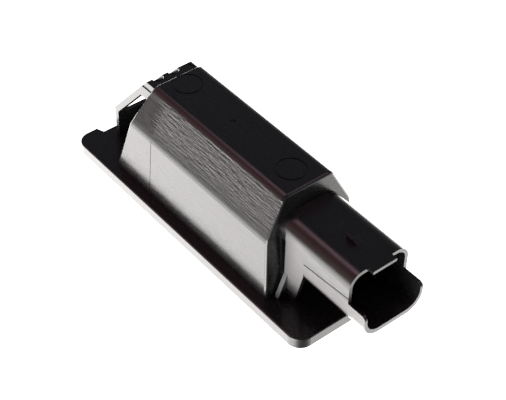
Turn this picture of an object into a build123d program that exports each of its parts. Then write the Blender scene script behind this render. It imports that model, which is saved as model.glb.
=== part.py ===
"""Number plate lamp: a black snap-in housing with a connector, a clear lens, a wedge-base bulb and contacts.

The frame: +X points out of the connector, +Z from the lens up to the back of the lamp, and the origin is
the centre of the flange's outer face. Sizes are in millimetres.
"""
import os
from math import cos, radians, sin, tan

from build123d import *

# Flange
flange_length = 77.0
flange_width = 28.5
flange_thickness = 2.7
flange_corner_radius = 3.2
flange_edge_radius = 0.3
notch_depth = 1.8
notch_width = 15.5
notch_slant = 0.7

# Hip-section box on the flange
body_height = 25.9
shoulder_height = 16.85
top_width = 12.2
shoulder_width = 21.7
base_width = 23.5
body_foot_length = 51.2
body_foot_shift = -0.1
rear_lean_low = 4.4
rear_lean_high = 2.65
front_lean = 2.0
top_bend_radius = 2.0
shoulder_bend_radius = 0.9
front_edge_radius = 0.7
rear_edge_radius = 0.45
wall = 1.6
ring_diameter = 6.6
ring_groove = 0.3
ring_depth = 0.15
ring_rear_inset = 3.4
ring_front_inset = 5.4

# Spring latch at the rear
latch_width = 12.0
latch_gap = 4.4
leg_thickness = 1.1
catch_step = 0.35
kink_height = 10.2
ramp_angle = 49.6
ramp_thickness = 1.35
rail_width = 1.9
sill_height = 8.9
root_bottom = 20.5
root_top = 25.0
root_block_height = 1.8
root_inset = 0.2
root_overhang = 0.5
scallop_count = 2
scallop_pitch = 4.0
scallop_radius = 1.25
scallop_shift = 0.3
scallop_depth = 2.8
root_groove_width = 0.35
root_groove_rear = 1.75
root_groove_front = 0.6
latch_edge_radius = 1.1

# Witness of the mould's slide behind the latch, and of the gate
slide_reach = 11.9
slide_depth = 0.25
slide_rise = 1.2
slide_top = 23.9
slide_groove = 0.15
gate_diameter = 1.2
gate_depth = 0.15

# Connector shroud
shroud_width = 15.0
shroud_bottom = 8.65
shroud_top = 21.4
shroud_wall = 1.1
shroud_floor = 1.05
shroud_mouth_wall = 0.7
shroud_top_radius = 3.2
shroud_bottom_radius = 4.0
hood_reach = 18.6
tray_reach = 4.8
tray_wall_top = 14.6
tray_lip_radius = 1.0
tongue_width = 6.0
tongue_reach = 1.4
nub_length = 3.1
nub_ramp = 1.5
nub_width = 1.7
nub_height = 1.5
nub_setback = 5.5
seam_low = 14.8
seam_high = 15.9
seam_width = 0.25
seam_depth = 0.2

# Stop plate and webs under the connector
plate_gap = 0.4
pad_thickness = 0.3
plate_thickness = 1.0
plate_foot_width = 20.8
plate_waist_height = 8.4
side_slot_top = 17.0
side_slot_depth = 1.5
web_thickness = 1.0
web_reach = 4.5
web_foot_setback = 2.5
web_knee_height = 11.4

# Lens
lens_margin = 0.9
lens_thickness = 2.0
lens_clearance = 0.2
lens_corner_radius = 2.0
lens_rim_height = 1.8
lens_rim_thickness = 1.2
flute_count = 12
flute_rise = 0.5
hook_width = 5.0
hook_height = 7.0
hook_thickness = 1.2
hook_barb = 0.6
hook_barb_height = 1.4
hook_pitch = 28.0
pocket_clearance = 0.25

# Wedge-base bulb
bulb_diameter = 10.0
bulb_length = 26.8
bulb_wall = 0.7
bulb_inner_tip_radius = 1.5
bulb_base_length = 8.0
bulb_base_width = 9.2
bulb_base_thickness = 3.0
bulb_base_inset = 3.3
bulb_neck_length = 2.5
bulb_rib_width = 1.2
bulb_rib_height = 4.6
lead_diameter = 0.5
lead_clearance = 0.02
lead_spread = 3.4
lead_fold_length = 5.0
lead_stub = 1.0
filament_diameter = 0.45
filament_setback = 11.0

# Contacts and the bulb's sleeve
strip_thickness = 0.8
tab_width = 2.8
tab_pitch = 5.0
tab_reach = 10.6
tab_chamfer = 0.2
jaw_width = 6.0
jaw_spread = 1.0
jaw_heel_setback = 1.0
jaw_pinch_setback = 4.0
sleeve_wall = 1.2
sleeve_room = 0.5
slot_clearance = 0.05
seat_clearance = 0.1

# Places that follow from the sizes
rear_foot = body_foot_shift - body_foot_length / 2
front_foot = body_foot_shift + body_foot_length / 2
rear_shoulder = rear_foot + rear_lean_low
rear_top = rear_shoulder + rear_lean_high
front_top = front_foot - front_lean
side_draft = (base_width - shoulder_width) / 2 / (shoulder_height - flange_thickness)
contact_height = (shroud_top + shroud_bottom) / 2
plate_back = front_foot + plate_gap
plate_front = plate_back + plate_thickness
web_front = plate_front + web_reach
hood_end = front_foot + hood_reach
tray_end = hood_end + tray_reach
lens_length = body_foot_length + 2 * lens_margin
lens_width = base_width + 2 * lens_margin
bulb_base_end = front_top - wall - bulb_base_inset
bulb_shoulder = bulb_base_end - bulb_base_length
bulb_neck = bulb_shoulder - bulb_neck_length
bulb_tip = bulb_base_end - bulb_length
rib_place = (bulb_base_width - bulb_rib_width) / 2
filament_place = bulb_shoulder - filament_setback
root_step = root_top - root_block_height
slide_end = rear_foot + slide_reach
overlap = 0.5


def side_at(height):
    """Half the outer width of the box at a height below the shoulder."""
    return base_width / 2 - side_draft * (height - flange_thickness)


def front_at(height):
    """X of the box's front wall at a height."""
    return front_foot - front_lean * (height - flange_thickness) / (body_height - flange_thickness)


def rear_at(height):
    """X of the box's rear wall at a height above the shoulder."""
    return rear_shoulder + rear_lean_high * (height - shoulder_height) / (body_height - shoulder_height)


def slope_at(height):
    """Half the outer width of the box at a height above the shoulder."""
    share = (height - shoulder_height) / (body_height - shoulder_height)
    return (shoulder_width - share * (shoulder_width - top_width)) / 2


def rear_inner_at(height):
    """X of the rear wall's inner face at a height below the shoulder."""
    lean = rear_lean_low / (shoulder_height - flange_thickness)
    return rear_foot + lean * (height - flange_thickness) + wall * (1 + lean**2) ** 0.5


def hip_block(inset, low):
    """The box as a solid: its cross-section along X cut by its side profile along Y, both drawn in by inset.

    The bends that run along X are rounded.
    """
    low_half = side_at(low)
    low_front = front_at(low)
    low_rear = rear_foot + rear_lean_low * (low - flange_thickness) / (shoulder_height - flange_thickness)
    with BuildPart() as block:
        with BuildSketch(Plane.YZ) as section:
            with BuildLine():
                Polyline(
                    (-low_half, low),
                    (-shoulder_width / 2, shoulder_height),
                    (-top_width / 2, body_height),
                    (top_width / 2, body_height),
                    (shoulder_width / 2, shoulder_height),
                    (low_half, low),
                    close=True,
                )
            make_face()
            offset(amount=-inset, kind=Kind.INTERSECTION)
            fillet(section.vertices().group_by(Axis.Y)[-2], shoulder_bend_radius)
            fillet(section.vertices().group_by(Axis.Y)[-1], top_bend_radius)
        extrude(amount=flange_length, both=True)
        with BuildSketch(Plane.XZ):
            with BuildLine():
                Polyline(
                    (low_rear, low),
                    (rear_shoulder, shoulder_height),
                    (rear_top, body_height),
                    (front_top, body_height),
                    (low_front, low),
                    close=True,
                )
            make_face()
            offset(amount=-inset, kind=Kind.INTERSECTION)
        extrude(amount=flange_width, both=True, mode=Mode.INTERSECT)
    return block.part


# Faces that the lens, the bulb and the contacts are set against
front_inner = front_at(contact_height) - wall
rim_top = lens_thickness + lens_rim_height
rim_rear = rear_inner_at(rim_top) + lens_clearance
rim_front = front_at(rim_top) - wall - lens_clearance
barb_low = lens_thickness + hook_height - hook_barb_height
hook_face = side_at(barb_low + hook_barb_height) - wall - lens_clearance
hook_places = [
    (body_foot_shift + side * hook_pitch / 2, barb_low + hook_barb_height / 2)
    for side in (-1, 1)
]
sleeve_mouth = bulb_shoulder + sleeve_room
sleeve_half_height = bulb_base_width / 2 + seat_clearance
sleeve_half_width = bulb_base_thickness / 2 + lead_diameter + strip_thickness + jaw_spread + sleeve_room

# The outer box with rounded edges, and the space inside it
with BuildPart() as box:
    add(hip_block(0, flange_thickness / 2))
    upper_edges = box.edges().filter_by(lambda edge: edge.center().Z > flange_thickness)
    end_edges = upper_edges.filter_by(Axis.X, reverse=True)
    cross_edges = end_edges.filter_by(Axis.Y).group_by(Axis.Z)[-1]
    end_loops = end_edges.filter_by(Axis.Y, reverse=True) + cross_edges
    rear_loop = end_loops.filter_by(lambda edge: edge.center().X < body_foot_shift)
    front_loop = end_loops.filter_by(lambda edge: edge.center().X > body_foot_shift)
    fillet(rear_loop, rear_edge_radius)
    fillet(front_loop, front_edge_radius)

cavity_low = -2 * wall
cavity = hip_block(wall, cavity_low)

# The spring latch: a leg on the flange and a sloping ramp that joins the box near its top
leg_outer = -flange_length / 2 + latch_gap
ramp_slope = tan(radians(ramp_angle))
ramp_span = ramp_thickness / sin(radians(ramp_angle))
kink = Vector(leg_outer - catch_step, kink_height)
kink_inner = kink + Vector(sin(radians(ramp_angle)), -cos(radians(ramp_angle))) * ramp_thickness
root_top_x = kink.X + (root_top - kink_height) / ramp_slope
root_bottom_x = kink.X + ramp_span + (root_bottom - kink_height) / ramp_slope
root_in = wall / 2

with BuildPart() as latch:
    with BuildSketch(Plane.XZ):
        with BuildLine():
            Polyline(
                (kink.X, kink.Y),
                (root_top_x, root_top),
                (rear_at(root_top) + root_in, root_top),
                (rear_at(root_bottom) + root_in, root_bottom),
                (root_bottom_x, root_bottom),
                (kink_inner.X, kink_inner.Y),
                close=True,
            )
        make_face()
        with BuildLine():
            Polyline(
                (leg_outer, flange_thickness / 2),
                (leg_outer, kink_height),
                (leg_outer + leg_thickness, kink_height),
                (leg_outer + leg_thickness, flange_thickness / 2),
                close=True,
            )
        make_face()
    extrude(amount=latch_width / 2 + root_overhang, both=True)
    # Window between the two rails
    with BuildSketch(Plane.XZ):
        with BuildLine():
            Polyline(
                (kink.X - overlap, sill_height),
                (kink.X - overlap, root_bottom),
                (rear_at(root_bottom) + root_in, root_bottom),
                (leg_outer + leg_thickness + overlap, sill_height),
                close=True,
            )
        make_face()
    extrude(amount=latch_width / 2 - rail_width, both=True, mode=Mode.SUBTRACT)
    # End view: the block at the root is set in at its near end and overhangs, rounded, at its far end
    latch_half = latch_width / 2
    block_near = root_inset - latch_half
    block_far = latch_half + root_overhang
    with BuildSketch(Plane.YZ) as end_view:
        with BuildLine():
            Polyline(
                (-latch_half, flange_thickness / 2),
                (-latch_half, root_step),
                (block_near, root_step),
                (block_near, root_top),
                (block_far, root_top),
                (block_far, root_step),
                (latch_half, root_step),
                (latch_half, flange_thickness / 2),
                close=True,
            )
        make_face()
        fillet(end_view.vertices().group_by(Axis.Y)[-1].sort_by(Axis.X)[-1], latch_edge_radius)
    extrude(amount=flange_length, both=True, mode=Mode.INTERSECT)
    # Round-ended scallops in the rear edge of the block, open to the rear
    with BuildSketch(Plane.XY.offset(root_top)):
        for scallop in range(scallop_count):
            scallop_end = block_near + (scallop + 1) * scallop_pitch
            with Locations((root_top_x + scallop_shift, scallop_end - scallop_radius)):
                Circle(scallop_radius)
                Rectangle(2 * scallop_depth, 2 * scallop_radius, align=(Align.MAX, Align.CENTER))
    extrude(amount=-scallop_depth, mode=Mode.SUBTRACT)
    # Fine groove across the block near its far end
    with BuildSketch(Plane.XY.offset(root_top)):
        with BuildLine():
            Polyline(
                (root_top_x - overlap, block_far - root_groove_rear - root_groove_width),
                (rear_at(root_top), block_far - root_groove_front - root_groove_width),
                (rear_at(root_top), block_far - root_groove_front),
                (root_top_x - overlap, block_far - root_groove_rear),
                close=True,
            )
        make_face()
    extrude(amount=-root_groove_width, mode=Mode.SUBTRACT)

# The connector shroud: a rounded tube whose lower part runs on as a tray
with BuildPart() as shroud:
    with BuildSketch(Plane.YZ.offset(front_top)) as shroud_outline:
        with Locations((0, contact_height)):
            Rectangle(shroud_width, shroud_top - shroud_bottom)
        fillet(shroud_outline.vertices().group_by(Axis.Y)[-1], shroud_top_radius)
        fillet(shroud_outline.vertices().group_by(Axis.Y)[0], shroud_bottom_radius)
    extrude(amount=tray_end - front_top)
    # Socket, closed at the stop plate, whose sides and top thin towards the mouth
    for place, thickness in ((plate_front, shroud_wall), (tray_end, shroud_mouth_wall)):
        with BuildSketch(Plane.YZ.offset(place)) as socket_outline:
            with Locations((0, shroud_bottom + shroud_floor)):
                Rectangle(
                    shroud_width - 2 * thickness,
                    shroud_top - thickness - shroud_bottom - shroud_floor,
                    align=(Align.CENTER, Align.MIN),
                )
            fillet(socket_outline.vertices().group_by(Axis.Y)[-1], shroud_top_radius - thickness)
            fillet(socket_outline.vertices().group_by(Axis.Y)[0], shroud_bottom_radius - thickness)
    loft(mode=Mode.SUBTRACT)
    # Side view of the tube: the hood ends before the tray, whose walls are rounded at their ends
    with BuildSketch(Plane.XZ) as side_view:
        with BuildLine():
            Polyline(
                (front_top, shroud_bottom),
                (tray_end, shroud_bottom),
                (tray_end, tray_wall_top),
                (hood_end, tray_wall_top),
                (hood_end, shroud_top),
                (front_top, shroud_top),
                close=True,
            )
        make_face()
        fillet(side_view.vertices().group_by(Axis.X)[-1].sort_by(Axis.Y)[-1], tray_lip_radius)
    extrude(amount=shroud_width, both=True, mode=Mode.INTERSECT)
    # Tongue in the middle of the top wall
    with BuildSketch(Plane.YZ.offset(hood_end)):
        with Locations((0, shroud_top)):
            Rectangle(tongue_width, shroud_mouth_wall, align=(Align.CENTER, Align.MAX))
    extrude(amount=tongue_reach)
    # Locking nub, a wedge that falls towards the mouth
    nub_front = hood_end - nub_setback
    with BuildSketch(Plane.XZ):
        with BuildLine():
            Polyline(
                (nub_front - nub_length, shroud_top - shroud_wall / 2),
                (nub_front - nub_length, shroud_top + nub_height),
                (nub_front - nub_ramp, shroud_top + nub_height),
                (nub_front, shroud_top),
                (nub_front, shroud_top - shroud_wall / 2),
                close=True,
            )
        make_face()
    extrude(amount=nub_width / 2, both=True)
    # Shallow seam along each side, rising towards the mouth
    for side in (-1, 1):
        with BuildSketch(Plane.XZ.offset(side * (shroud_width / 2 - seam_depth))):
            with BuildLine():
                Polyline(
                    (web_front, seam_low - seam_width / 2),
                    (hood_end, seam_high - seam_width / 2),
                    (hood_end, seam_high + seam_width / 2),
                    (web_front, seam_low + seam_width / 2),
                    close=True,
                )
            make_face()
        extrude(amount=side * 2 * seam_depth, mode=Mode.SUBTRACT)
    # Side slots between the box's front wall and the stop plate
    with BuildSketch(Plane.XZ):
        with Locations((front_top, side_slot_top)):
            Rectangle(plate_back - front_top, shroud_top, align=(Align.MIN, Align.MAX))
    extrude(amount=shroud_width, both=True, mode=Mode.SUBTRACT)
    with BuildSketch(Plane.XZ):
        with Locations((front_top, side_slot_top)):
            Rectangle(plate_back - front_top, side_slot_top - shroud_bottom, align=(Align.MIN, Align.MAX))
    extrude(amount=shroud_width / 2 - side_slot_depth, both=True)

# Housing: flange, box, latch, connector and what carries it, as one moulding
with BuildPart() as housing:
    with BuildSketch() as flange_outline:
        RectangleRounded(flange_length, flange_width, flange_corner_radius)
        with BuildLine():
            Polyline(
                (-flange_length / 2, -notch_width / 2 - notch_slant),
                (-flange_length / 2 + notch_depth, -notch_width / 2),
                (-flange_length / 2 + notch_depth, notch_width / 2),
                (-flange_length / 2, notch_width / 2 + notch_slant),
                close=True,
            )
        make_face(mode=Mode.SUBTRACT)
    extrude(amount=flange_thickness)
    rim_edges = housing.edges().group_by(Axis.Z)
    fillet(rim_edges[0] + rim_edges[-1], flange_edge_radius)
    add(box.part)
    add(latch.part)
    add(shroud.part)
    # Pad on the front wall behind the side slots
    with BuildSketch(Plane.XZ):
        with BuildLine():
            Polyline(
                (front_foot - overlap, flange_thickness / 2),
                (front_foot + pad_thickness, flange_thickness / 2),
                (front_at(side_slot_top) + pad_thickness, side_slot_top),
                (front_at(side_slot_top) - overlap, side_slot_top),
                close=True,
            )
        make_face()
    extrude(amount=shroud_width / 2, both=True)
    # Stop plate, waisted from its foot on the flange up to the shroud's sides
    with BuildSketch(Plane.YZ.offset(plate_back)):
        with BuildLine():
            Polyline(
                (-plate_foot_width / 2, flange_thickness / 2),
                (-shroud_width / 2, plate_waist_height),
                (-shroud_width / 2, contact_height),
                (shroud_width / 2, contact_height),
                (shroud_width / 2, plate_waist_height),
                (plate_foot_width / 2, flange_thickness / 2),
                close=True,
            )
        make_face()
    extrude(amount=plate_thickness)
    # Two webs that carry the shroud, flush with its sides
    for side in (-1, 1):
        with BuildSketch(Plane.XZ.offset(side * shroud_width / 2)):
            with BuildLine():
                Polyline(
                    (plate_back, flange_thickness / 2),
                    (plate_back, contact_height),
                    (web_front, contact_height),
                    (web_front, web_knee_height),
                    (web_front - web_foot_setback, flange_thickness / 2),
                    close=True,
                )
            make_face()
        extrude(amount=-side * web_thickness)
    # Inside of the box, open towards the lens
    add(cavity, mode=Mode.SUBTRACT)
    # Sleeve for the bulb's base, on the inner face of the front wall
    with BuildSketch(Plane.YZ.offset(sleeve_mouth)):
        with Locations((0, contact_height)):
            Rectangle(2 * (sleeve_half_width + sleeve_wall), 2 * (sleeve_half_height + sleeve_wall))
            Rectangle(2 * sleeve_half_width, 2 * sleeve_half_height, mode=Mode.SUBTRACT)
    extrude(amount=front_inner - sleeve_mouth + wall / 2)
    # Slots for the two contact strips
    with BuildSketch(Plane.YZ.offset(sleeve_mouth)):
        with Locations((-tab_pitch / 2, contact_height), (tab_pitch / 2, contact_height)):
            Rectangle(strip_thickness + 2 * slot_clearance, tab_width + 2 * slot_clearance)
    extrude(amount=plate_front - sleeve_mouth, mode=Mode.SUBTRACT)
    # Rebate for the lens, and the pockets that its hooks snap into
    with BuildSketch():
        with Locations((body_foot_shift, 0)):
            RectangleRounded(lens_length, lens_width, lens_corner_radius)
    extrude(amount=lens_thickness, mode=Mode.SUBTRACT)
    with BuildSketch(Plane.XZ):
        with Locations(*hook_places):
            Rectangle(hook_width + 2 * pocket_clearance, hook_barb_height + 2 * pocket_clearance)
    extrude(amount=hook_face + hook_barb + pocket_clearance, both=True, mode=Mode.SUBTRACT)
    # Witness of the mould's slide: a shallow facet on each slope and a fine groove down each side
    slide_low = shoulder_height + slide_rise
    for side in (-1, 1):
        with BuildSketch(Plane.YZ.offset(slide_end)):
            with BuildLine():
                Polyline(
                    (side * slope_at(slide_low), slide_low),
                    (side * (slope_at(slide_top) + wall), slide_top),
                    (side * (slope_at(slide_top) - slide_depth), slide_top),
                    close=True,
                )
            make_face()
        extrude(amount=rear_foot - slide_end, mode=Mode.SUBTRACT)
        with BuildSketch(Plane.YZ.offset(slide_end)):
            with BuildLine():
                Polyline(
                    (side * (side_at(flange_thickness) - slide_groove), flange_thickness),
                    (side * (side_at(flange_thickness) + wall), flange_thickness),
                    (side * (side_at(flange_thickness) + wall), shoulder_height),
                    (side * (side_at(shoulder_height) - slide_groove), shoulder_height),
                    close=True,
                )
            make_face()
        extrude(amount=slide_groove, mode=Mode.SUBTRACT)
    # Witness rings and the gate's mark on the top
    with BuildSketch(Plane.XY.offset(body_height)):
        with Locations((rear_top + ring_rear_inset, 0), (front_top - ring_front_inset, 0)):
            Circle(ring_diameter / 2)
            Circle(ring_diameter / 2 - ring_groove, mode=Mode.SUBTRACT)
    extrude(amount=-ring_depth, mode=Mode.SUBTRACT)
    with BuildSketch(Plane.XY.offset(body_height)):
        Circle(gate_diameter / 2)
    extrude(amount=-gate_depth, mode=Mode.SUBTRACT)

# Lens: a plate in the rebate, with a rim and snap hooks that reach into the box and flutes between them
with BuildPart() as lens:
    with BuildSketch():
        with Locations((body_foot_shift, 0)):
            RectangleRounded(
                lens_length - 2 * lens_clearance,
                lens_width - 2 * lens_clearance,
                lens_corner_radius - lens_clearance,
            )
    extrude(amount=lens_thickness)
    with BuildSketch(Plane.XY.offset(lens_thickness)):
        with Locations(((rim_rear + rim_front) / 2, 0)):
            Rectangle(rim_front - rim_rear, 2 * hook_face)
            Rectangle(
                rim_front - rim_rear - 2 * lens_rim_thickness,
                2 * hook_face - 2 * lens_rim_thickness,
                mode=Mode.SUBTRACT,
            )
    extrude(amount=lens_rim_height)
    for side in (-1, 1):
        with BuildSketch(Plane.YZ.offset(body_foot_shift - hook_pitch / 2 - hook_width / 2)) as hook_profile:
            with BuildLine():
                Polyline(
                    (side * hook_face, lens_thickness),
                    (side * hook_face, barb_low),
                    (side * (hook_face + hook_barb), barb_low),
                    (side * hook_face, barb_low + hook_barb_height),
                    (side * (hook_face - hook_thickness), barb_low + hook_barb_height),
                    (side * (hook_face - hook_thickness), lens_thickness),
                    close=True,
                )
            make_face()
        extrude(amount=hook_width)
        extrude(hook_profile.sketch.moved(Location((hook_pitch, 0, 0))), amount=hook_width)
    flute_pitch = (rim_front - rim_rear - 2 * lens_rim_thickness) / flute_count
    with BuildSketch(Plane.XZ):
        for flute in range(flute_count):
            flute_start = rim_rear + lens_rim_thickness + flute * flute_pitch
            with BuildLine():
                ThreePointArc(
                    (flute_start, lens_thickness),
                    (flute_start + flute_pitch / 2, lens_thickness + flute_rise),
                    (flute_start + flute_pitch, lens_thickness),
                )
                Line((flute_start + flute_pitch, lens_thickness), (flute_start, lens_thickness))
            make_face()
    extrude(amount=hook_face - lens_rim_thickness, both=True)

# Bulb: a blown envelope that runs into a pinched base with two guide ribs
bulb_axis = Axis((0, 0, contact_height), (1, 0, 0))
with BuildPart() as bulb_glass:
    with BuildSketch(Plane.XZ):
        with BuildLine():
            Line((bulb_tip, contact_height), (bulb_neck, contact_height))
            Line((bulb_neck, contact_height), (bulb_neck, contact_height + bulb_diameter / 2))
            Line(
                (bulb_neck, contact_height + bulb_diameter / 2),
                (bulb_tip + bulb_diameter / 2, contact_height + bulb_diameter / 2),
            )
            RadiusArc(
                (bulb_tip + bulb_diameter / 2, contact_height + bulb_diameter / 2),
                (bulb_tip, contact_height),
                -bulb_diameter / 2,
            )
        make_face()
    revolve(axis=bulb_axis)
    with BuildSketch(Plane.YZ.offset(bulb_neck)):
        with Locations((0, contact_height)):
            Circle(bulb_diameter / 2)
    with BuildSketch(Plane.YZ.offset(bulb_shoulder)):
        with Locations((0, contact_height)):
            Ellipse(bulb_base_thickness / 2, bulb_base_width / 2)
    loft()
    with BuildSketch(Plane.YZ.offset(bulb_shoulder - overlap)):
        with Locations((0, contact_height)):
            Rectangle(bulb_base_thickness, bulb_base_width)
        with Locations((0, contact_height - rib_place), (0, contact_height + rib_place)):
            Rectangle(bulb_rib_height, bulb_rib_width)
    extrude(amount=bulb_base_length + overlap)
    # Inner space of the envelope
    inner_radius = bulb_diameter / 2 - bulb_wall
    with BuildSketch(Plane.XZ):
        with BuildLine():
            Line((bulb_tip + bulb_wall, contact_height), (bulb_neck, contact_height))
            Line((bulb_neck, contact_height), (bulb_neck, contact_height + inner_radius))
            Line(
                (bulb_neck, contact_height + inner_radius),
                (bulb_tip + bulb_diameter / 2, contact_height + inner_radius),
            )
            Line(
                (bulb_tip + bulb_diameter / 2, contact_height + inner_radius),
                (bulb_tip + bulb_wall, contact_height + bulb_inner_tip_radius),
            )
            Line(
                (bulb_tip + bulb_wall, contact_height + bulb_inner_tip_radius),
                (bulb_tip + bulb_wall, contact_height),
            )
        make_face()
    revolve(axis=bulb_axis, mode=Mode.SUBTRACT)
    # Channels for the lead wires through the pinch
    with BuildSketch(Plane.YZ.offset(bulb_neck - overlap)):
        with Locations((0, contact_height - lead_spread / 2), (0, contact_height + lead_spread / 2)):
            Circle(lead_diameter / 2 + lead_clearance)
    extrude(amount=bulb_base_end - bulb_neck + overlap, mode=Mode.SUBTRACT)


def lead_wire(side):
    """A lead from the filament through the pinch, folded back along the flat of the base on that side."""
    lead_height = contact_height + side * lead_spread / 2
    flat = side * (bulb_base_thickness / 2 + lead_clearance + lead_diameter / 2)
    with BuildPart() as wire:
        with BuildLine(Plane.XY.offset(lead_height)) as route:
            Polyline(
                (filament_place - lead_diameter, 0),
                (bulb_base_end + lead_stub, 0),
                (bulb_base_end + lead_stub, flat),
                (bulb_base_end - lead_fold_length, flat),
            )
        with BuildSketch(Plane.YZ.offset(filament_place - lead_diameter)):
            with Locations((0, lead_height)):
                Circle(lead_diameter / 2)
        sweep(path=route.line, transition=Transition.RIGHT)
    return wire


bulb_lead_left = lead_wire(1)
bulb_lead_right = lead_wire(-1)

# Filament: a straight coil, drawn as its outer form, between the tips of the leads
filament_length = lead_spread - lead_diameter - 2 * lead_clearance
with BuildPart() as bulb_filament:
    with BuildSketch(Plane.XY.offset(contact_height)):
        with Locations((filament_place, 0)):
            Circle(filament_diameter / 2)
    extrude(amount=filament_length / 2, both=True)


def contact_strip(side):
    """A strip of sheet: a tab in the socket, a straight run through the wall and a sprung jaw on the base."""
    jaw_inner = bulb_base_thickness / 2 + lead_diameter + 2 * lead_clearance + strip_thickness / 2
    jaw_root = front_inner - strip_thickness
    with BuildPart() as strip:
        with BuildSketch(Plane.XY.offset(contact_height)):
            with BuildLine() as run:
                Line((plate_front + tab_reach, side * tab_pitch / 2), (jaw_root, side * tab_pitch / 2))
            trace(line_width=strip_thickness)
        extrude(amount=tab_width / 2, both=True)
        chamfer(strip.edges().filter_by(Axis.Z).group_by(Axis.X)[-1], tab_chamfer)
        with BuildSketch(Plane.XY.offset(contact_height)):
            with BuildLine() as jaw:
                FilletPolyline(
                    (jaw_root, side * tab_pitch / 2),
                    (jaw_root - strip_thickness, side * tab_pitch / 2),
                    (bulb_base_end - jaw_heel_setback, side * (jaw_inner + jaw_spread)),
                    (bulb_base_end - jaw_pinch_setback, side * jaw_inner),
                    (sleeve_mouth + strip_thickness, side * (jaw_inner + jaw_spread)),
                    radius=strip_thickness,
                )
            trace(line_width=strip_thickness)
        extrude(amount=jaw_width / 2, both=True)
    return strip


contact_left = contact_strip(1)
contact_right = contact_strip(-1)

os.makedirs("parts", exist_ok=True)
pieces = {
    "housing": housing,
    "lens": lens,
    "bulb_glass": bulb_glass,
    "bulb_lead_left": bulb_lead_left,
    "bulb_lead_right": bulb_lead_right,
    "bulb_filament": bulb_filament,
    "contact_left": contact_left,
    "contact_right": contact_right,
}
for name, piece in pieces.items():
    piece.part.label = name
    export_step(piece.part, f"parts/{name}.step")
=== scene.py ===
# %% [markdown]
# # A number plate lamp, dressed in Blender
# The lamp is a black plastic box that snaps into a hole in a car's tailgate. Its solids come from
# the CAD model, already at full size and in metres. This lesson gives them a camera, a floor, light
# and finishes, and makes the two bulb pieces that a CAD solid shows too plainly.

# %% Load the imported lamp
import math

import bmesh
import bpy
import numpy as np
from mathutils import Matrix, Vector


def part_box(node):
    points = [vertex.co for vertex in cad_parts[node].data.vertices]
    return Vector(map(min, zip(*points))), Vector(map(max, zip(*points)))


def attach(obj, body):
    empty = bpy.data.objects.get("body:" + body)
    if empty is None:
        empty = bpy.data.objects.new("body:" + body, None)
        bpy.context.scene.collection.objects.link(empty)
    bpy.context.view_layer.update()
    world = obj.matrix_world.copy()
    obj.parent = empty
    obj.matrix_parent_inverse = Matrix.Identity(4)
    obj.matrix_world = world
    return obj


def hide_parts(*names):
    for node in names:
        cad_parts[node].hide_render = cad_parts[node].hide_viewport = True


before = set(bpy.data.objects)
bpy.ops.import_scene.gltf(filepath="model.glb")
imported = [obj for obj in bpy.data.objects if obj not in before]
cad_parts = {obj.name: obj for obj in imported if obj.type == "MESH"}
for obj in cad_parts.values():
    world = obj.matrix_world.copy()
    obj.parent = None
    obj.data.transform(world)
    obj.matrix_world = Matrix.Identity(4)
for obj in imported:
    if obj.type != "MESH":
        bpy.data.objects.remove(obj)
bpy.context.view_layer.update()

MM = 0.001
print("CAD nodes:", sorted(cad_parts))

# %% [markdown]
# ## The camera
# A product photograph of a small part is taken with a long lens from nearby. The eye, the point it
# looks at and a small roll were found by matching corners of the lamp with their places in the
# picture, so the camera is set from those three facts and not moved by hand until it looks right.

# %% Camera
EYE_MM = Vector((168.859, -135.563, 208.358))
AIM_MM = Vector((9.058, -1.902, 12.0))
ROLL = math.radians(1.380)
LENS_MM = 99.955
SENSOR_MM = 36.0

back = (EYE_MM - AIM_MM).normalized()
level_right = Vector((0.0, 0.0, 1.0)).cross(back).normalized()
level_up = back.cross(level_right)
right = level_right * math.cos(ROLL) + level_up * math.sin(ROLL)
up = level_up * math.cos(ROLL) - level_right * math.sin(ROLL)

camera_data = bpy.data.cameras.new("camera")
camera_data.lens = LENS_MM
camera_data.sensor_fit = "HORIZONTAL"
camera_data.sensor_width = SENSOR_MM
camera_data.clip_start = 0.01
camera_data.clip_end = 50.0
camera = bpy.data.objects.new("camera", camera_data)
camera.matrix_world = Matrix.Translation(EYE_MM * MM) @ Matrix((right, up, back)).transposed().to_4x4()
bpy.context.scene.collection.objects.link(camera)
bpy.context.scene.camera = camera
bpy.context.scene.view_settings.view_transform = "Standard"
print("camera stands", round((EYE_MM - AIM_MM).length), "mm away")

# %% [markdown]
# ## Surfaces from whole arrays
# Every new mesh here is a grid of points, worked out by numpy in one go. One helper joins the grid's
# rows and columns into quads. Where a tube closes on itself the last column is joined to the first,
# so no seam is left open, and where a row has shrunk to a point the doubled corners are merged.

# %% Grid to mesh
MERGE_WITHIN = 0.0005 * MM


def grid_faces(rows, columns, wrap):
    """Quads of a grid: each joins a point, its right neighbour and the two below them."""
    number = np.arange(rows * columns).reshape(rows, columns)
    following = np.roll(number, -1, axis=1) if wrap else number[:, 1:]
    current = number if wrap else number[:, :-1]
    corners = (current[:-1], following[:-1], following[1:], current[1:])
    return np.stack(corners, axis=-1).reshape(-1, 4)


def new_piece(name, points, faces):
    """A smooth mesh object at the origin, whose place is in its points."""
    mesh = bpy.data.meshes.new(name)
    mesh.from_pydata(points.reshape(-1, 3).tolist(), [], faces.tolist())
    mesh.polygons.foreach_set("use_smooth", np.full(len(mesh.polygons), True))
    mesh.validate()
    mesh.update()
    piece = bpy.data.objects.new(name, mesh)
    bpy.context.scene.collection.objects.link(piece)
    return piece


def merged(piece):
    """Merges doubled points, so that poles and the pinched end are closed."""
    cells = bmesh.new()
    cells.from_mesh(piece.data)
    bmesh.ops.remove_doubles(cells, verts=cells.verts, dist=MERGE_WITHIN)
    cells.to_mesh(piece.data)
    cells.free()
    piece.data.update()
    return piece


print("points closer than", MERGE_WITHIN / MM, "mm count as one")

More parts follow.
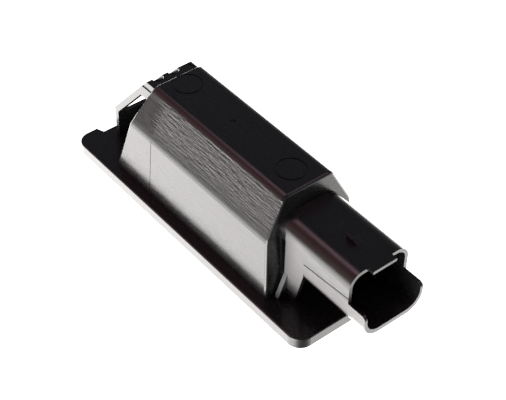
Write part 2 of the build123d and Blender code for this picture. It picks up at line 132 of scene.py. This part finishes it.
# %% [markdown]
# ## The floor
# The photograph has a pure white ground without a shadow. A large sheet that shines by itself gives
# that. It shows only to the camera, and only from above: every other ray passes through it, so the
# lamp mirrors the light of the room below it, and the lens can be seen from underneath.

# %% White floor
FLOOR_HALF = 3.0
FLOOR_DROP = 0.02 * MM
FLOOR_LIGHT = 2.0


def floor_points(half, height, steps=3):
    """A level square: both parameters run from minus to plus half its side."""
    along = np.linspace(-half, half, steps)
    x, y = np.meshgrid(along, along)
    return np.stack((x, y, np.full_like(x, height)), axis=-1)


floor_grid = floor_points(FLOOR_HALF, -FLOOR_DROP)
floor = new_piece("floor", floor_grid, grid_faces(*floor_grid.shape[:2], wrap=False))

floor_paint = bpy.data.materials.new("white_floor")
floor_paint.use_nodes = True
tree = floor_paint.node_tree
tree.nodes.clear()
glow = tree.nodes.new("ShaderNodeEmission")
glow.inputs["Strength"].default_value = FLOOR_LIGHT
clear = tree.nodes.new("ShaderNodeBsdfTransparent")
side = tree.nodes.new("ShaderNodeNewGeometry")
path = tree.nodes.new("ShaderNodeLightPath")
seen = tree.nodes.new("ShaderNodeMath")
seen.operation = "SUBTRACT"
seen.use_clamp = True
choose = tree.nodes.new("ShaderNodeMixShader")
output = tree.nodes.new("ShaderNodeOutputMaterial")
tree.links.new(path.outputs["Is Camera Ray"], seen.inputs[0])
tree.links.new(side.outputs["Backfacing"], seen.inputs[1])
tree.links.new(seen.outputs["Value"], choose.inputs["Fac"])
tree.links.new(clear.outputs["BSDF"], choose.inputs[1])
tree.links.new(glow.outputs["Emission"], choose.inputs[2])
tree.links.new(choose.outputs["Shader"], output.inputs["Surface"])
floor.data.materials.append(floor_paint)
print("floor is", 2 * FLOOR_HALF, "m square")

# %% [markdown]
# ## The room
# A black object is seen by what it mirrors. Its upright walls look down into the light of a white
# table. That light is broad on the near side and dies away towards one bearing, in front of the
# connector, where the photograph is dark. Above the horizon the room is a dim grey haze, so the level
# faces look nearly black. A few soft spots are added to it: two warm ones and a brown one, which
# draw coloured lines along the rounded edges, and a white card that lights the connector's side.

# %% Light of the room
TABLE_LIGHT = 6.3
TABLE_STEPS = (
    # height of the direction, colour as a share of the table's light
    (-1.00, (1.00, 0.975, 0.955)),
    (-0.25, (1.00, 0.975, 0.955)),
    (-0.02, (0.27, 0.265, 0.258)),
    (0.05, (0.02, 0.02, 0.02)),
    (0.10, (0.0, 0.0, 0.0)),
)
DARK_BEARING = math.radians(75.0)  # turned from -Y towards +X
BEARING_STEPS = (
    # cosine of the angle from the dark bearing, share of the table's light
    (0.15, (1.00, 1.00, 1.00)),
    (0.50, (0.57, 0.57, 0.57)),
    (0.755, (0.22, 0.22, 0.22)),
    (0.906, (0.09, 0.09, 0.09)),
    (1.00, (0.06, 0.06, 0.06)),
)
HAZE_STEPS = (
    # height of the direction, colour as a share of the table's light
    (-0.06, (0.0, 0.0, 0.0)),
    (0.05, (0.058, 0.055, 0.056)),
    (0.17, (0.048, 0.045, 0.046)),
    (0.46, (0.036, 0.034, 0.035)),
    (0.59, (0.019, 0.021, 0.024)),
    (1.00, (0.014, 0.016, 0.018)),
)
SPOTS = {
    # direction of the middle, cosines at the rim and where it is full, colour as a share
    "warm, overhead": ((-0.40, -0.06, 0.914), 0.955, 0.990, (0.34, 0.21, 0.25)),
    "warm, far side": ((0.20, 0.46, 0.86), 0.930, 0.970, (0.18, 0.12, 0.14)),
    "brown, near side": ((-0.50, -0.64, 0.55), 0.840, 0.930, (0.068, 0.014, 0.013)),
    "white card": ((0.243, -0.908, -0.342), 0.890, 0.950, (1.80, 1.80, 1.80)),
}
print("room has these spots:", ", ".join(SPOTS))

# %% World helpers
world = bpy.data.worlds.new("studio")
world.use_nodes = True
bpy.context.scene.world = world
tree = world.node_tree
tree.nodes.clear()
direction = tree.nodes.new("ShaderNodeTexCoord").outputs["Generated"]


def sky_maths(operation, first, second):
    """A vector node of the world with two inputs, each a link or a fixed vector."""
    node = tree.nodes.new("ShaderNodeVectorMath")
    node.operation = operation
    for socket, value in zip(node.inputs, (first, second)):
        if isinstance(value, bpy.types.NodeSocket):
            tree.links.new(value, socket)
        else:
            socket.default_value = value
    return node.outputs["Value" if operation == "DOT_PRODUCT" else "Vector"]


def sky_share(cosine, zero_at, one_at):
    """A straight ramp from zero to one between two values, level beyond them."""
    node = tree.nodes.new("ShaderNodeMapRange")
    node.inputs["From Min"].default_value = zero_at
    node.inputs["From Max"].default_value = one_at
    tree.links.new(cosine, node.inputs["Value"])
    return node.outputs["Result"]


def sky_ramp(cosine, steps):
    """A colour ramp over a value from minus one to one."""
    node = tree.nodes.new("ShaderNodeValToRGB")
    elements = node.color_ramp.elements
    while len(elements) < len(steps):
        elements.new(0.5)
    for element, (level, colour) in zip(elements, steps):
        element.position = (level + 1.0) / 2.0
        element.color = (*colour, 1.0)
    tree.links.new(sky_share(cosine, -1.0, 1.0), node.inputs["Fac"])
    return node.outputs["Color"]


def sky_spot(middle, rim, full, colour):
    """A round spot of light, full in its middle and gone at its rim."""
    cosine = sky_maths("DOT_PRODUCT", direction, Vector(middle).normalized())
    return sky_maths("MULTIPLY", sky_share(cosine, rim, full), colour)


print("world", world.name, "is ready to be wired")

# %% Wire the room
upward = sky_maths("DOT_PRODUCT", direction, (0.0, 0.0, 1.0))
sideways = sky_maths("MULTIPLY", direction, (1.0, 1.0, 0.0))
bearing = sky_maths("NORMALIZE", sideways, (0.0, 0.0, 0.0))
dark_side = (math.sin(DARK_BEARING), -math.cos(DARK_BEARING), 0.0)
toward_dark = sky_maths("DOT_PRODUCT", bearing, dark_side)
table = sky_maths("MULTIPLY", sky_ramp(upward, TABLE_STEPS), sky_ramp(toward_dark, BEARING_STEPS))
room_colour = sky_maths("ADD", table, sky_ramp(upward, HAZE_STEPS))
for spot in SPOTS.values():
    room_colour = sky_maths("ADD", room_colour, sky_spot(*spot))

room = tree.nodes.new("ShaderNodeBackground")
room.inputs["Strength"].default_value = TABLE_LIGHT
plain = tree.nodes.new("ShaderNodeBackground")
plain.inputs["Color"].default_value = (1.0, 1.0, 1.0, 1.0)
path = tree.nodes.new("ShaderNodeLightPath")
choose = tree.nodes.new("ShaderNodeMixShader")
output = tree.nodes.new("ShaderNodeOutputWorld")
tree.links.new(room_colour, room.inputs["Color"])
tree.links.new(path.outputs["Is Camera Ray"], choose.inputs["Fac"])
tree.links.new(room.outputs["Background"], choose.inputs[1])
tree.links.new(plain.outputs["Background"], choose.inputs[2])
tree.links.new(choose.outputs["Shader"], output.inputs["Surface"])
print("room has", len(tree.nodes), "nodes")

# %% [markdown]
# ## Finishes
# A finish is a Principled shader with patterns on the object's own coordinates, so that it stays in
# place when the view changes. One small class keeps the wiring short: it adds a node, links it and
# hands back the output.

# %% Finish helper
class Finish:
    """A material with one Principled shader and methods that add pattern nodes to it."""

    # Numbers of the colour sockets on a Mix node, whose names it shares with its other sockets
    MIX_FIRST = 6
    MIX_SECOND = 7
    MIX_RESULT = 2

    def __init__(self, name):
        self.material = bpy.data.materials.new(name)
        self.material.use_nodes = True
        self.tree = self.material.node_tree
        self.tree.nodes.clear()
        self.shader = self.tree.nodes.new("ShaderNodeBsdfPrincipled")
        output = self.tree.nodes.new("ShaderNodeOutputMaterial")
        self.tree.links.new(self.shader.outputs["BSDF"], output.inputs["Surface"])
        self.place = self.tree.nodes.new("ShaderNodeTexCoord").outputs["Object"]

    def set(self, **values):
        """Sets sockets of the shader; a name's underscores stand for spaces."""
        for name, value in values.items():
            self.shader.inputs[name.replace("_", " ")].default_value = value

    def stretch(self, per_metre):
        """Object coordinates with a count of pattern cells per metre along each axis."""
        node = self.tree.nodes.new("ShaderNodeMapping")
        node.inputs["Scale"].default_value = per_metre
        self.tree.links.new(self.place, node.inputs["Vector"])
        return node.outputs["Vector"]

    def noise(self, per_metre, detail=2.0, roughness=0.5):
        """Cloudy noise, its cells stretched by the counts along the three axes."""
        node = self.tree.nodes.new("ShaderNodeTexNoise")
        node.inputs["Scale"].default_value = 1.0
        node.inputs["Detail"].default_value = detail
        node.inputs["Roughness"].default_value = roughness
        self.tree.links.new(self.stretch(per_metre), node.inputs["Vector"])
        return node.outputs["Fac"]

    def axis(self, name):
        """One of the object coordinates, in metres."""
        node = self.tree.nodes.new("ShaderNodeSeparateXYZ")
        self.tree.links.new(self.place, node.inputs["Vector"])
        return node.outputs[name]

    def maths(self, operation, *values):
        """One arithmetic operation on one or two patterns."""
        node = self.tree.nodes.new("ShaderNodeMath")
        node.operation = operation
        for value, socket in zip(values, node.inputs):
            self.tree.links.new(value, socket)
        return node.outputs["Value"]

    def product(self, first, *others):
        """Several patterns multiplied together."""
        for other in others:
            first = self.maths("MULTIPLY", first, other)
        return first

    def mixed(self, factor, first, second):
        """The first colour where the pattern is zero, the second where it is one."""
        node = self.tree.nodes.new("ShaderNodeMix")
        node.data_type = "RGBA"
        self.tree.links.new(factor, node.inputs["Factor"])
        self.tree.links.new(first, node.inputs[self.MIX_FIRST])
        self.tree.links.new(second, node.inputs[self.MIX_SECOND])
        return node.outputs[self.MIX_RESULT]

    def between(self, factor, low, high, start=0.3, end=0.7):
        """A number that goes from low to high as the pattern goes from start to end."""
        node = self.tree.nodes.new("ShaderNodeMapRange")
        node.inputs["From Min"].default_value = start
        node.inputs["From Max"].default_value = end
        node.inputs["To Min"].default_value = low
        node.inputs["To Max"].default_value = high
        self.tree.links.new(factor, node.inputs["Value"])
        return node.outputs["Result"]

    def fade(self, value, zero_at, one_at):
        """A pattern that goes straight from zero to one between two values, level beyond them."""
        return self.between(value, 0.0, 1.0, start=zero_at, end=one_at)

    def beyond(self, value, edge, soft=0.1 * MM):
        """One where a value is past an edge and zero before it, with a short ramp between."""
        return self.fade(value, edge - soft, edge + soft)

    def short_of(self, value, edge, soft=0.1 * MM):
        """One where a value is short of an edge and zero past it, with a short ramp between."""
        return self.fade(value, edge + soft, edge - soft)

    def colours(self, factor, *stops):
        """A colour ramp; each stop is a position and a colour."""
        node = self.tree.nodes.new("ShaderNodeValToRGB")
        elements = node.color_ramp.elements
        while len(elements) < len(stops):
            elements.new(0.5)
        for element, (position, colour) in zip(elements, stops):
            element.position = position
            element.color = (*colour, 1.0)
        self.tree.links.new(factor, node.inputs["Fac"])
        return node.outputs["Color"]

    def bump(self, factor, depth, under=None):
        """A bump of that depth in metres, laid over another bump's normal if one is given."""
        node = self.tree.nodes.new("ShaderNodeBump")
        node.inputs["Strength"].default_value = 1.0
        node.inputs["Distance"].default_value = depth
        self.tree.links.new(factor, node.inputs["Height"])
        if under is not None:
            self.tree.links.new(under, node.inputs["Normal"])
        return node.outputs["Normal"]

    def feed(self, socket, value):
        """Links a pattern to one of the shader's sockets."""
        self.tree.links.new(value, self.shader.inputs[socket])


def dress(node_name, finish):
    """Puts a finish on every material slot of a CAD node, whose mesh stays as it is."""
    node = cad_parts[node_name]
    for number in range(len(node.material_slots)):
        node.material_slots[number].material = finish.material
    print(node_name, "wears", finish.material.name)


print("finishes are wanted for", len(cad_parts), "nodes")

# %% [markdown]
# ## Black plastic
# The housing is moulded in glossy black plastic, so nearly all of its look is reflection. Some parts of
# the connector are duller, as a matt slide of the mould would leave them: its sides below the seam line
# and near the stop plate, fading out down the webs, and the plate's slanted edges. These parts are also
# painted a much lighter grey, a painted sheen that stands in for the bright table they reflect. The
# object's own coordinates tell these places apart, because the whole housing is one moulding with one
# material.

# %% Satin parts of the connector, which also carry a painted sheen
SEAM_HEIGHT = 14.9 * MM
SLIDE_BACK = 25.8 * MM
SLIDE_FADES_FROM = 29.3 * MM
SLIDE_FADES_TO = 33.3 * MM
SHROUD_SIDE = 7.4 * MM
WEB_SHADED_GLOSSY_TO = 4.0 * MM
WEB_SATIN_SHEEN_FROM = 8.0 * MM
FLANGE_TOP = 2.9 * MM
PLATE_FRONT = 27.2 * MM
PLATE_WAIST = 8.6 * MM
EDGE_LEAN = 0.4113
EDGE_INSIDE = 10.85 * MM
EDGE_OUTSIDE = 10.95 * MM

black = Finish("black_moulded_plastic")
black.set(IOR=1.5)
along = black.axis("X")
aside = black.maths("ABSOLUTE", black.axis("Y"))
height = black.axis("Z")

below_seam = black.short_of(height, SEAM_HEIGHT)
by_stop_plate = black.fade(along, SLIDE_FADES_TO, SLIDE_FADES_FROM)
# Down the webs the satin and its painted sheen fade out towards the flange. Their feet are left glossy
# and black, which is painted shade.
slide_side = black.product(black.beyond(aside, SHROUD_SIDE),
                           black.fade(height, WEB_SHADED_GLOSSY_TO, WEB_SATIN_SHEEN_FROM),
                           black.maths("MAXIMUM", below_seam, by_stop_plate))
# All along the slanted edge, the distance aside plus this share of the height is the same
lean = black.between(height, 0.0, EDGE_LEAN, start=0.0, end=1.0)
plate_edge = black.product(black.fade(black.maths("ADD", aside, lean), EDGE_INSIDE, EDGE_OUTSIDE),
                           black.short_of(along, PLATE_FRONT),
                           black.beyond(height, FLANGE_TOP),
                           black.short_of(height, PLATE_WAIST, soft=0.2 * MM))
satin_and_painted_sheen = black.product(black.beyond(along, SLIDE_BACK),
                      black.maths("MAXIMUM", slide_side, plate_edge))
print("satin parts start", round(SLIDE_BACK / MM, 1), "mm in front of the lamp's middle")

# %% Tint and gloss of the housing
GLOSS_TINTS = ((0.30, (0.0062, 0.0060, 0.0064)), (0.70, (0.0082, 0.0080, 0.0084)))
# The satin tints are a painted sheen: a grey far lighter than the black plastic, standing in for the
# bright reflection on the connector's sides and plate edges.
SATIN_PAINTED_SHEEN_TINTS = ((0.30, (0.077, 0.075, 0.075)), (0.70, (0.087, 0.085, 0.085)))
GLOSS_ROUGHNESS = (0.20, 0.28)
SATIN_DULLER = 0.28

cloud = black.noise((90.0, 90.0, 90.0), detail=3.0)
gloss_tint = black.colours(cloud, *GLOSS_TINTS)
painted_sheen_tint = black.colours(cloud, *SATIN_PAINTED_SHEEN_TINTS)
black.feed("Base Color", black.mixed(satin_and_painted_sheen, gloss_tint, painted_sheen_tint))
smears = black.between(black.noise((420.0, 1500.0, 1500.0)), *GLOSS_ROUGHNESS)
duller = black.between(satin_and_painted_sheen, 0.0, SATIN_DULLER, start=0.0, end=1.0)
black.feed("Roughness", black.maths("ADD", smears, duller))
print("housing roughness goes from", GLOSS_ROUGHNESS[0], "to", GLOSS_ROUGHNESS[1] + SATIN_DULLER)

# %% [markdown]
# ## Marks of the mould
# Three bumps lie over each other, each on the object's own coordinates. The bend between wall and slope
# is a little rounded, so near it the surface sinks, by the square of the closeness to the bend. The
# slopes carry short lines along the lamp, from polishing the mould's steel by hand: stretched noise,
# faint elsewhere. A fine grain lies over everything.

# %% Rounded bend
BEND_HEIGHT = 16.85 * MM
BEND_REACH = 0.7 * MM
BEND_STEEPNESS = 0.20
BEND_ASIDE = 9.7 * MM
BEND_FRONT = 24.2 * MM

bend_low = BEND_HEIGHT - BEND_REACH
bend_high = BEND_HEIGHT + BEND_REACH
from_bend = black.between(height, -1.0, 1.0, start=bend_low, end=bend_high)
near_bend = black.fade(black.maths("ABSOLUTE", from_bend), 1.0, 0.0)
rounded = black.product(near_bend, near_bend,
                        black.beyond(aside, BEND_ASIDE),
                        black.short_of(along, BEND_FRONT))
sunk = black.between(rounded, 0.0, -1.0, start=0.0, end=1.0)
bend_bump = black.bump(sunk, BEND_STEEPNESS * BEND_REACH / 2.0)
print("bend is rounded over", round(2.0 * BEND_REACH / MM, 1), "mm")

# %% Polishing lines and grain
LINES_FAINT = 0.06
LINES_LOW = 17.0 * MM
LINES_FULL = 20.5 * MM
LINES_TOP = 25.0 * MM
LINES_BACK = -16.6 * MM
LINES_FULL_BACK = -12.6 * MM
LINES_FRONT = 23.5 * MM
LINE_DEPTH = 0.16 * MM
GRAIN_DEPTH = 0.0016 * MM

up_slope = black.between(height, LINES_FAINT, 1.0, start=LINES_LOW, end=LINES_FULL)
on_slope = black.product(black.fade(along, LINES_BACK, LINES_FULL_BACK),
                         black.short_of(along, LINES_FRONT),
                         black.short_of(height, LINES_TOP))
worked = black.product(up_slope, black.between(on_slope, LINES_FAINT, 1.0, start=0.0, end=1.0))
polish_lines = black.noise((280.0, 2700.0, 2700.0), detail=3.0, roughness=0.55)
line_height = black.product(black.between(polish_lines, -0.5, 0.5, start=0.0, end=1.0), worked)
line_bump = black.bump(line_height, LINE_DEPTH, under=bend_bump)
grain = black.noise((6500.0, 6500.0, 6500.0))
black.feed("Normal", black.bump(grain, GRAIN_DEPTH, under=line_bump))
dress("housing", black)

# %% [markdown]
# ## Clear plastic
# The lens is clear plastic, and the light is spread by the flutes on its inner side, which are in the
# CAD solid. A faint waviness keeps its outer face from looking like a perfect mirror.

# %% Lens finish
lens_plastic = Finish("clear_lens_plastic")
lens_plastic.set(Transmission_Weight=1.0, IOR=1.49)
lens_cloud = lens_plastic.noise((120.0, 120.0, 120.0))
lens_tints = ((0.30, (0.930, 0.950, 0.950)), (0.70, (0.965, 0.975, 0.970)))
lens_plastic.feed("Base Color", lens_plastic.colours(lens_cloud, *lens_tints))
lens_smears = lens_plastic.noise((700.0, 700.0, 700.0))
lens_plastic.feed("Roughness", lens_plastic.between(lens_smears, 0.02, 0.06))
lens_waves = lens_plastic.noise((300.0, 300.0, 300.0))
lens_plastic.feed("Normal", lens_plastic.bump(lens_waves, 0.010 * MM))
dress("lens", lens_plastic)

# %% [markdown]
# ## The bulb's glass
# A wedge bulb is a glass tube whose end was pressed flat while hot, around two wires. Each
# cross-section is a superellipse: its two half widths and its squareness change along the bulb, from
# a round dome to a flat base. The hollow inside is a second closed skin that faces the other way.

# %% Bulb envelope
bulb_low, bulb_high = (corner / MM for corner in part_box("bulb_glass"))
BULB_HEIGHT = (bulb_low.z + bulb_high.z) / 2.0
BULB_TIP = bulb_low.x
BULB_RADIUS = (bulb_high.z - bulb_low.z) / 2.0
BULB_END = bulb_high.x
BASE_LENGTH = 8.0
PINCH_LENGTH = 2.5
BULB_SHOULDER = BULB_END - BASE_LENGTH
BULB_NECK = BULB_SHOULDER - PINCH_LENGTH
BASE_HALF_Y = 1.5
BASE_HALF_Z = 4.6
BULB_WALL = 0.7
HOLLOW_NECK = BULB_NECK - 1.0
HOLLOW_END = BULB_SHOULDER - 0.6
ROUND_POWER = 2.0
FLAT_POWER = 7.0


def eased(x, start, end):
    """Zero before start, one after end, and a smooth S between them."""
    t = np.clip((x - start) / (end - start), 0.0, 1.0)
    return t * t * (3.0 - 2.0 * t)


def superellipse_skin(x, half_y, half_z, power, columns=64):
    """Rings along X. At angle a a ring's point is the half width times the cosine or sine of a,
    each raised to two over the power, so a power of two is an ellipse and a high power a box."""
    angle = np.linspace(0.0, 2.0 * np.pi, columns, endpoint=False)
    cosine = np.cos(angle)[None, :]
    sine = np.sin(angle)[None, :]
    share = 2.0 / power[:, None]
    y = half_y[:, None] * np.sign(cosine) * np.abs(cosine) ** share
    z = half_z[:, None] * np.sign(sine) * np.abs(sine) ** share
    return np.stack((np.broadcast_to(x[:, None], y.shape), y, z + BULB_HEIGHT), axis=-1)


def dome_rows(tip, radius, rows=20):
    """Places along X and radii of a quarter circle from the tip to the full radius."""
    turn = np.linspace(0.0, np.pi / 2.0, rows)
    return tip + radius * (1.0 - np.cos(turn)), radius * np.sin(turn)


def outer_skin():
    """Dome, straight tube, S-shaped pinch, flat base and a flat end that shrinks to its middle."""
    dome_x, dome_r = dome_rows(BULB_TIP, BULB_RADIUS)
    rest_x = np.concatenate((np.linspace(dome_x[-1], BULB_NECK, 8)[1:],
                             np.linspace(BULB_NECK, BULB_SHOULDER, 14)[1:],
                             np.linspace(BULB_SHOULDER, BULB_END, 8)[1:]))
    pressed = eased(rest_x, BULB_NECK, BULB_SHOULDER)
    half_y = np.concatenate((dome_r, BULB_RADIUS + (BASE_HALF_Y - BULB_RADIUS) * pressed, [0.0]))
    half_z = np.concatenate((dome_r, BULB_RADIUS + (BASE_HALF_Z - BULB_RADIUS) * pressed, [0.0]))
    pressed_power = ROUND_POWER + (FLAT_POWER - ROUND_POWER) * pressed
    power = np.concatenate((np.full(len(dome_r), ROUND_POWER), pressed_power, [FLAT_POWER]))
    x = np.concatenate((dome_x, rest_x, [BULB_END]))
    return superellipse_skin(x, half_y, half_z, power)


def inner_skin():
    """The hollow: a smaller dome and tube that narrows to a blunt point inside the pinch."""
    radius = BULB_RADIUS - BULB_WALL
    dome_x, dome_r = dome_rows(BULB_TIP + BULB_WALL, radius)
    rest_x = np.concatenate((np.linspace(dome_x[-1], HOLLOW_NECK, 8)[1:],
                             np.linspace(HOLLOW_NECK, HOLLOW_END, 14)[1:]))
    closing = eased(rest_x, HOLLOW_NECK, HOLLOW_END)
    half_y = np.concatenate((dome_r, radius * (1.0 - closing)))
    half_z = np.concatenate((dome_r, radius * (1.0 - closing * closing)))
    x = np.concatenate((dome_x, rest_x))
    return superellipse_skin(x, half_y, half_z, np.full(len(x), ROUND_POWER))


outer = outer_skin() * MM
inner = inner_skin() * MM
outer_faces = grid_faces(*outer.shape[:2], wrap=True)[:, ::-1]
inner_faces = grid_faces(*inner.shape[:2], wrap=True) + outer.shape[0] * outer.shape[1]
envelope = new_piece("bulb_envelope",
                     np.concatenate((outer.reshape(-1, 3), inner.reshape(-1, 3))),
                     np.concatenate((outer_faces, inner_faces)))
merged(envelope)
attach(envelope, "root")
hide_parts("bulb_glass")
print("bulb envelope has", len(envelope.data.polygons), "faces")

# %% Glass finish
glass = Finish("bulb_clear_glass")
glass.set(Transmission_Weight=1.0, IOR=1.5)
glass_cloud = glass.noise((260.0, 260.0, 260.0))
glass_tints = ((0.30, (0.955, 0.965, 0.955)), (0.70, (0.985, 0.985, 0.980)))
glass.feed("Base Color", glass.colours(glass_cloud, *glass_tints))
glass.feed("Roughness", glass.between(glass.noise((500.0, 500.0, 500.0)), 0.0, 0.03))
glass.feed("Normal", glass.bump(glass.noise((140.0, 300.0, 300.0)), 0.02 * MM))
envelope.data.materials.append(glass.material)
print("bulb envelope wears", glass.material.name)

# %% [markdown]
# ## The filament
# The lamp's light comes from a tungsten coil between the two lead wires. The solid in the CAD model is
# a plain rod that fills the coil's space. Here a thin round wire is carried along a helix, whose ends
# are drawn in to the leads.

# %% Filament coil
coil_low, coil_high = (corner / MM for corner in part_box("bulb_filament"))
COIL_X = (coil_low.x + coil_high.x) / 2.0
COIL_SHORTER_BY = 0.1
COIL_LENGTH = coil_high.z - coil_low.z - COIL_SHORTER_BY
COIL_RADIUS = 0.185
COIL_WIRE = 0.035
COIL_TURNS = 15
ROWS_PER_TURN = 20
COIL_ROWS = COIL_TURNS * ROWS_PER_TURN
COIL_SIDES = 8
COIL_TAPER = 0.06
NEARLY_UP = np.array((0.0, 0.0, 1.0)) + 1e-6


def helix_path(rows):
    """Points along Z: angle and height grow evenly, and the radius is drawn in at the ends."""
    t = np.linspace(0.0, 1.0, rows)
    angle = 2.0 * np.pi * COIL_TURNS * t
    radius = COIL_RADIUS * eased(np.minimum(t, 1.0 - t), 0.0, COIL_TAPER)
    height = BULB_HEIGHT + COIL_LENGTH * (t - 0.5)
    return np.stack((COIL_X + radius * np.cos(angle), radius * np.sin(angle), height), axis=-1)


def tube_along(points, radius, sides):
    """A circle carried along a path: at each point it lies square to the path's own direction.
    Its first axis is square to the path and to a line a hair off upright, so it never vanishes."""
    ahead = np.gradient(points, axis=0)
    ahead /= np.linalg.norm(ahead, axis=1, keepdims=True)
    outward = np.cross(ahead, NEARLY_UP)
    outward /= np.linalg.norm(outward, axis=1, keepdims=True)
    above = np.cross(outward, ahead)
    angle = np.linspace(0.0, 2.0 * np.pi, sides, endpoint=False)[None, :, None]
    ring = outward[:, None, :] * np.cos(angle) + above[:, None, :] * np.sin(angle)
    return points[:, None, :] + radius * ring


def capped(tube):
    """Adds a row at each end that has shrunk to the ring's middle, which closes the tube."""
    first = np.broadcast_to(tube[0].mean(axis=0), tube[:1].shape)
    last = np.broadcast_to(tube[-1].mean(axis=0), tube[-1:].shape)
    return np.concatenate((first, tube, last))


coil_grid = capped(tube_along(helix_path(COIL_ROWS), COIL_WIRE, COIL_SIDES)) * MM
coil = merged(new_piece("filament_coil", coil_grid, grid_faces(*coil_grid.shape[:2], wrap=True)))
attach(coil, "root")
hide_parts("bulb_filament")
print("filament coil has", COIL_TURNS, "turns")

# %% [markdown]
# ## Metals
# The lead wires and the filament are dull drawn metal, and the contacts are tinned brass strip. Fine
# lines along the strip come from rolling, and cloudy roughness from handling.

# %% Metal finishes
wire_metal = Finish("dull_lead_wire")
wire_metal.set(Metallic=1.0)
wire_cloud = wire_metal.noise((900.0, 900.0, 900.0))
wire_tints = ((0.30, (0.46, 0.44, 0.42)), (0.70, (0.60, 0.58, 0.55)))
wire_metal.feed("Base Color", wire_metal.colours(wire_cloud, *wire_tints))
wire_metal.feed("Roughness", wire_metal.between(wire_cloud, 0.28, 0.45))
dress("bulb_lead_left", wire_metal)
dress("bulb_lead_right", wire_metal)

tungsten = Finish("grey_filament_wire")
tungsten.set(Metallic=1.0)
tungsten_cloud = tungsten.noise((2500.0, 2500.0, 2500.0))
tungsten_tints = ((0.30, (0.30, 0.30, 0.31)), (0.70, (0.42, 0.42, 0.43)))
tungsten.feed("Base Color", tungsten.colours(tungsten_cloud, *tungsten_tints))
tungsten.feed("Roughness", tungsten.between(tungsten_cloud, 0.35, 0.5))
coil.data.materials.append(tungsten.material)
print("filament coil wears", tungsten.material.name)

strip = Finish("tinned_brass_strip")
strip.set(Metallic=1.0)
strip_cloud = strip.noise((350.0, 350.0, 350.0), detail=3.0)
strip_tints = ((0.25, (0.62, 0.58, 0.50)), (0.75, (0.74, 0.72, 0.67)))
strip.feed("Base Color", strip.colours(strip_cloud, *strip_tints))
strip.feed("Roughness", strip.between(strip_cloud, 0.24, 0.40))
rolling_lines = strip.noise((120.0, 7000.0, 7000.0))
strip.feed("Normal", strip.bump(rolling_lines, 0.004 * MM))
dress("contact_left", strip)
dress("contact_right", strip)
